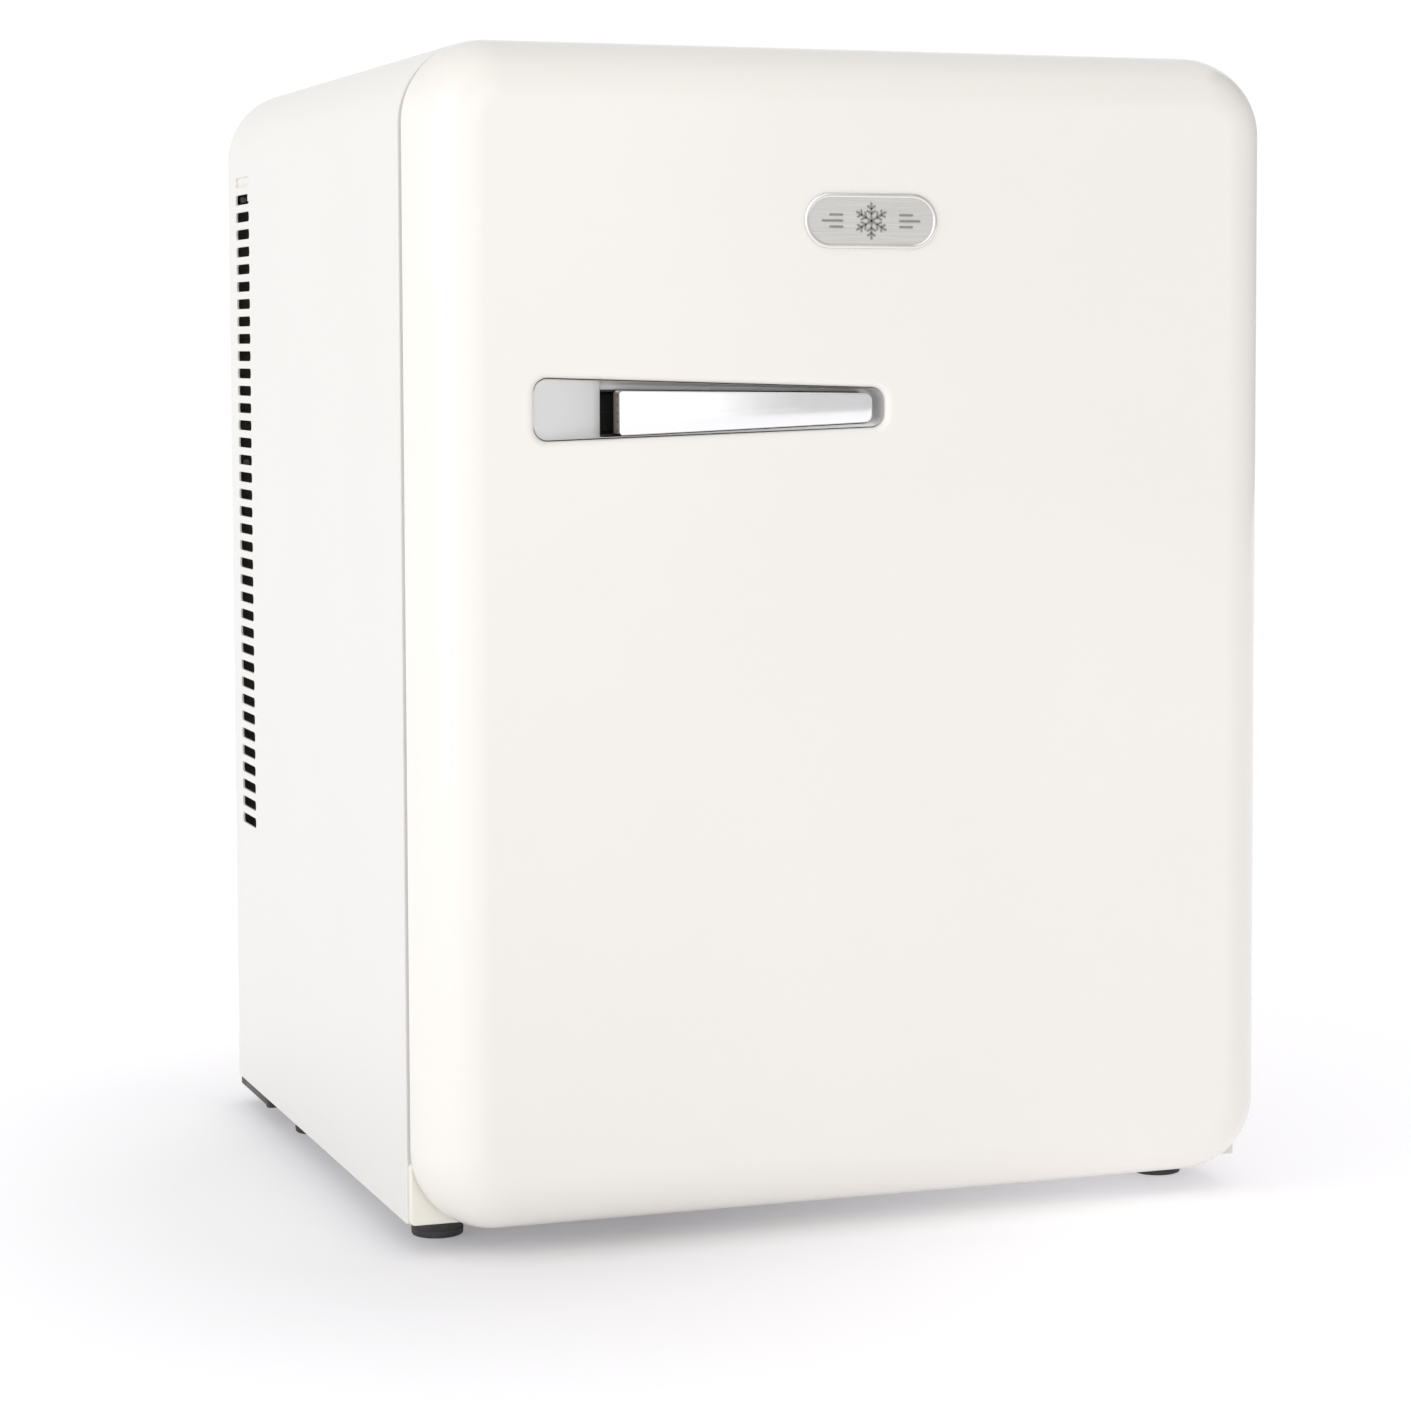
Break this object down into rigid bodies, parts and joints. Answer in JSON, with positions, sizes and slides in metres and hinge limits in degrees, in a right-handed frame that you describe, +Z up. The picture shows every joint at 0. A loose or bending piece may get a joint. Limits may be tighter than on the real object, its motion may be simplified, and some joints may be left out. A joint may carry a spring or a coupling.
{
  "type": "mini fridge",
  "caption": "Small free-standing refrigerator with a rounded steel cabinet, a full-overlay pillow-edged door on hidden pivot hinges, a recessed bar handle, wire shelves and door racks.",
  "frame": {"origin": "on the floor under the centre of the outer box", "axes": "+X to the right when facing the door, +Y to the rear, +Z up"},
  "size_m": [0.4, 0.4, 0.525],
  "materials": {
    "shell_enamel": "glossy baked enamel",
    "door_enamel": "glossy baked enamel",
    "zinc_steel": "zinc plated, satin",
    "rail_plastic": "satin, moulded",
    "liner_plastic": "vacuum formed, light gloss",
    "foam": "rigid foam, open pores",
    "duct_sheet": "mill finish",
    "duct_foam": "bead foam",
    "cover_enamel": "satin enamel",
    "dark_plastic": "fine grain",
    "foot_rubber": "matt",
    "wire_chrome": "bright plated wire",
    "handle_chrome": "bright plated",
    "tray_plastic": "satin silver paint",
    "aluminium": "extruded, satin",
    "ceramic": "fired, matt",
    "fan_plastic": "satin, moulded",
    "white_plastic": "light gloss, moulded",
    "lens": "frosted",
    "board": "solder mask",
    "brass": "drawn blade",
    "seal_rubber": "soft, light grey",
    "magnet": "magnet-filled strip",
    "nylon": "natural nylon",
    "badge_metal": "satin with bright rim",
    "badge_relief": "dark satin relief",
    "rack_plastic": "light gloss, moulded"
  },
  "bodies": {
    "cabinet": {"outer_shell": "shell_enamel", "base_plate": "zinc_steel", "bottom_front_rail": "rail_plastic", "inner_liner": "liner_plastic", "cabinet_foam": "foam", "inner_back_plate": "duct_sheet", "duct_ceiling_block": "duct_foam", "rear_cover": "cover_enamel", "rear_cover_screws": "zinc_steel", "rear_base_frame": "dark_plastic", "rear_feet": "foot_rubber", "rear_foot_screws": "zinc_steel", "front_foot_inserts": "dark_plastic", "hinge_bracket_upper": "zinc_steel", "hinge_bracket_lower": "zinc_steel", "hinge_pin_upper": "zinc_steel", "hinge_pin_lower": "zinc_steel", "hinge_screws": "zinc_steel", "hot_spreader_block": "aluminium", "hot_heatsink": "aluminium", "hot_fan_frame": "fan_plastic", "peltier_module": "ceramic", "cold_block": "aluminium", "cold_heatsink": "aluminium", "cold_fan_frame": "fan_plastic", "cold_air_cover": "white_plastic", "cold_cover_screws": "zinc_steel", "thermostat": "dark_plastic", "lamp_housing": "white_plastic", "lamp_board": "board", "lamp_lens": "lens", "power_supply_case": "duct_sheet", "power_supply_board": "board", "power_inlet": "dark_plastic", "inlet_pins": "brass"},
    "door": {"door_skin": "door_enamel", "door_foam": "foam", "door_liner": "liner_plastic", "door_gasket": "seal_rubber", "gasket_magnets": "magnet", "hinge_bush_upper": "nylon", "hinge_bush_lower": "nylon", "handle_tray": "tray_plastic", "handle_bar": "handle_chrome", "handle_screws": "zinc_steel", "badge_plate": "badge_metal", "badge_emblem": "badge_relief"},
    "rack_lower": {"rack_lower": "rack_plastic", "rack_lower_rail": "wire_chrome"},
    "rack_upper": {"rack_upper": "rack_plastic", "rack_upper_rail": "wire_chrome"},
    "shelf_lower": {"shelf_lower": "wire_chrome", "shelf_lower_guard": "wire_chrome"},
    "shelf_upper": {"shelf_upper": "wire_chrome", "shelf_upper_guard": "wire_chrome"},
    "thermostat_knob": {"thermostat_knob": "white_plastic"},
    "hot_fan": {"hot_fan_rotor": "fan_plastic"},
    "cold_fan": {"cold_fan_rotor": "fan_plastic"},
    "foot_left": {"front_foot_left": "foot_rubber"},
    "foot_right": {"front_foot_right": "foot_rubber"}
  },
  "joints": [
    {"name": "door_hinge", "type": "hinge", "parent": "cabinet", "child": "door", "pos_m": [0.185, -0.176, 0.26], "axis": [0, 0, 1], "range_deg": [0, 105]},
    {"name": "rack_lower_lift", "type": "slide", "parent": "door", "child": "rack_lower", "axis": [0, 0, 1], "range_m": [0, 0.012]},
    {"name": "rack_upper_lift", "type": "slide", "parent": "door", "child": "rack_upper", "axis": [0, 0, 1], "range_m": [0, 0.012]},
    {"name": "shelf_lower_slide", "type": "slide", "parent": "cabinet", "child": "shelf_lower", "axis": [0, -1, 0], "range_m": [0, 0.02]},
    {"name": "shelf_upper_slide", "type": "slide", "parent": "cabinet", "child": "shelf_upper", "axis": [0, -1, 0], "range_m": [0, 0.02]},
    {"name": "thermostat_turn", "type": "hinge", "parent": "cabinet", "child": "thermostat_knob", "pos_m": [0.064, 0.04, 0.41], "axis": [0, -1, 0], "range_deg": [0, 270]},
    {"name": "hot_fan_spin", "type": "hinge", "parent": "cabinet", "child": "hot_fan", "pos_m": [0, 0.17, 0.41], "axis": [0, 1, 0], "continuous": true},
    {"name": "cold_fan_spin", "type": "hinge", "parent": "cabinet", "child": "cold_fan", "pos_m": [0, 0.053, 0.41], "axis": [0, 1, 0], "continuous": true},
    {"name": "foot_left_turn", "type": "hinge", "parent": "cabinet", "child": "foot_left", "pos_m": [-0.177, -0.12, 0.01], "axis": [0, 0, 1], "continuous": true},
    {"name": "foot_right_turn", "type": "hinge", "parent": "cabinet", "child": "foot_right", "pos_m": [0.177, -0.12, 0.01], "axis": [0, 0, 1], "continuous": true}
  ]
}
